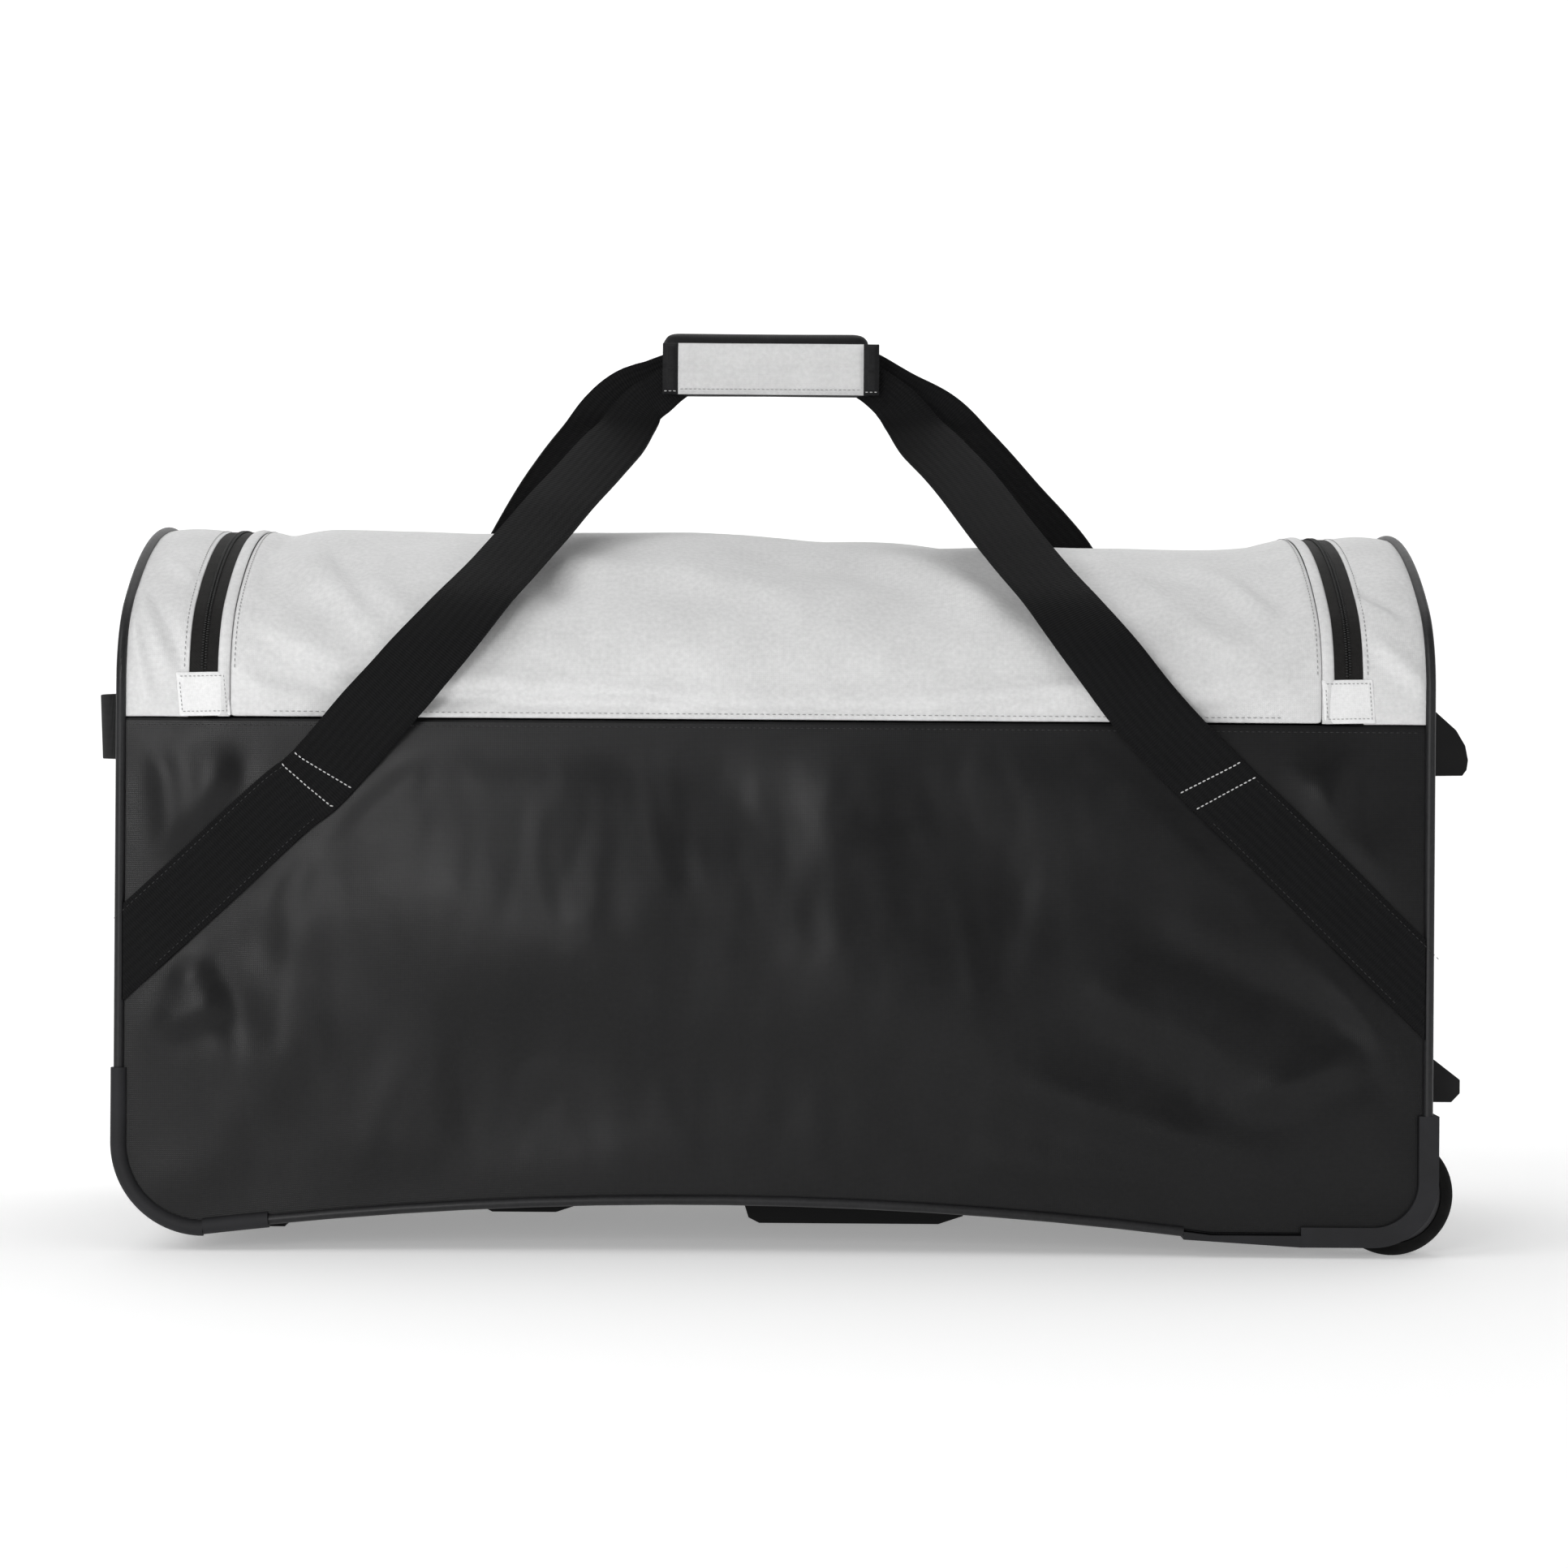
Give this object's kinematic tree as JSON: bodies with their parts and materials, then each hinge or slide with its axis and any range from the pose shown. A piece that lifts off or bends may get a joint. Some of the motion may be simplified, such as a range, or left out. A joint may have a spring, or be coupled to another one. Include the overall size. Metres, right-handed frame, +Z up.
{
  "type": "hockey equipment bag",
  "caption": "Long wheeled fabric hockey bag with a rounded zipped lid, crossed carrying straps joined in a padded handle, an end grab handle, and a moulded end grip.",
  "frame": {"origin": "on the floor under the middle of the whole bag", "axes": "+X along the bag to the end with the wheels, +Y to the long side with the zip, +Z up; the lid's hinge is on the -Y side"},
  "size_m": [1.02, 0.459, 0.673],
  "materials": {
    "black_fabric": "coated ballistic nylon, semi-matt",
    "black_end_fabric": "coated ballistic nylon, semi-matt",
    "grey_fabric": "coated polyester, semi-matt",
    "white_fabric": "coated polyester, matt",
    "piping": "fabric-wrapped piping cord",
    "zip_tape": "woven zip tape",
    "zip_coil": "nylon coil",
    "webbing": "woven polypropylene webbing",
    "wrap_pad": "padded fabric",
    "wrap_face": "coated polyester",
    "hook_and_loop": "hook and loop strip",
    "stiff_board": "extruded board",
    "moulded_black": "textured moulding",
    "moulded_grey": "smooth satin moulding",
    "tyre": "polyurethane tyre",
    "hub": "moulded nylon",
    "steel": "zinc plated",
    "bearing_steel": "ground steel",
    "slider_metal": "gunmetal plating"
  },
  "bodies": {
    "bag": {"hinge_side_panel": "black_fabric", "zip_side_panel": "black_fabric", "handle_end_panel": "black_end_fabric", "wheel_end_panel": "black_end_fabric", "base_panel": "black_end_fabric", "base_board": "stiff_board", "wheel_end_board": "stiff_board", "handle_end_gusset": "grey_fabric", "wheel_end_gusset": "grey_fabric", "hinge_side_piping": "piping", "zip_side_piping": "piping", "handle_end_arch_piping": "piping", "wheel_end_arch_piping": "piping", "hinge_side_corner_guard": "moulded_grey", "zip_side_corner_guard": "moulded_grey", "body_zip_tape": "zip_tape", "body_zip_coil": "zip_coil", "hinge_side_strap_tails": "webbing", "zip_side_strap_tails": "webbing", "end_grab_handle": "webbing", "grab_handle_patches": "webbing", "end_grip": "moulded_black", "end_grip_screws": "steel", "hinge_side_stand_foot": "moulded_black", "zip_side_stand_foot": "moulded_black", "stand_foot_screws": "steel", "hinge_side_wheel_housing": "moulded_grey", "zip_side_wheel_housing": "moulded_grey", "housing_screws": "steel", "axle_bolts": "steel", "axle_nuts": "steel", "hinge_side_runner": "moulded_black", "zip_side_runner": "moulded_black", "runner_screws": "steel"},
    "lid": {"lid_panel": "grey_fabric", "lid_welts": "grey_fabric", "lid_zip_tape": "zip_tape", "lid_zip_coil": "zip_coil", "zip_end_tabs": "white_fabric"},
    "near_strap_loop": {"near_strap": "webbing", "near_wrap": "wrap_pad", "near_wrap_face": "wrap_face", "near_wrap_bindings": "wrap_pad", "near_wrap_hook_strip": "hook_and_loop"},
    "far_strap_loop": {"far_strap": "webbing", "far_wrap": "wrap_pad", "far_wrap_loop_strip": "hook_and_loop"},
    "near_wheel": {"near_tyre": "tyre", "near_hub": "hub", "near_bearings": "bearing_steel", "near_spacer": "bearing_steel"},
    "far_wheel": {"far_tyre": "tyre", "far_hub": "hub", "far_bearings": "bearing_steel", "far_spacer": "bearing_steel"},
    "left_zip_slider": {"left_slider": "slider_metal"},
    "right_zip_slider": {"right_slider": "slider_metal"},
    "left_zip_puller": {"left_puller": "slider_metal"},
    "right_zip_puller": {"right_puller": "slider_metal"}
  },
  "joints": [
    {"name": "lid_hinge", "type": "hinge", "parent": "bag", "child": "lid", "pos_m": [0, -0.215, 0.373], "axis": [1, 0, 0], "range_deg": [0, 74]},
    {"name": "near_strap_swing", "type": "hinge", "parent": "bag", "child": "near_strap_loop", "pos_m": [0, -0.2178, 0.332], "axis": [1, 0, 0], "range_deg": [0, 162.8]},
    {"name": "far_strap_swing", "type": "hinge", "parent": "bag", "child": "far_strap_loop", "pos_m": [0, 0.2178, 0.332], "axis": [-1, 0, 0], "range_deg": [0, 162.8]},
    {"name": "near_wheel_spin", "type": "hinge", "parent": "bag", "child": "near_wheel", "pos_m": [0.436, -0.185, 0.043], "axis": [0, 1, 0], "continuous": true},
    {"name": "far_wheel_spin", "type": "hinge", "parent": "bag", "child": "far_wheel", "pos_m": [0.436, 0.185, 0.043], "axis": [0, 1, 0], "continuous": true},
    {"name": "left_slider_slide", "type": "slide", "parent": "bag", "child": "left_zip_slider", "axis": [-1, 0, 0], "range_m": [0, 0.34]},
    {"name": "right_slider_slide", "type": "slide", "parent": "bag", "child": "right_zip_slider", "axis": [1, 0, 0], "range_m": [0, 0.34]},
    {"name": "left_puller_turn", "type": "hinge", "parent": "left_zip_slider", "child": "left_zip_puller", "pos_m": [-0.045, 0.2212, 0.383], "axis": [0, 0, 1], "range_deg": [0, 150]},
    {"name": "right_puller_turn", "type": "hinge", "parent": "right_zip_slider", "child": "right_zip_puller", "pos_m": [0.045, 0.2212, 0.383], "axis": [0, 0, -1], "range_deg": [0, 150]}
  ],
  "couplings": [
    {"joint": "near_strap_swing", "follows": "lid_hinge", "ratio": 2.2},
    {"joint": "far_strap_swing", "follows": "lid_hinge", "ratio": 2.2}
  ]
}
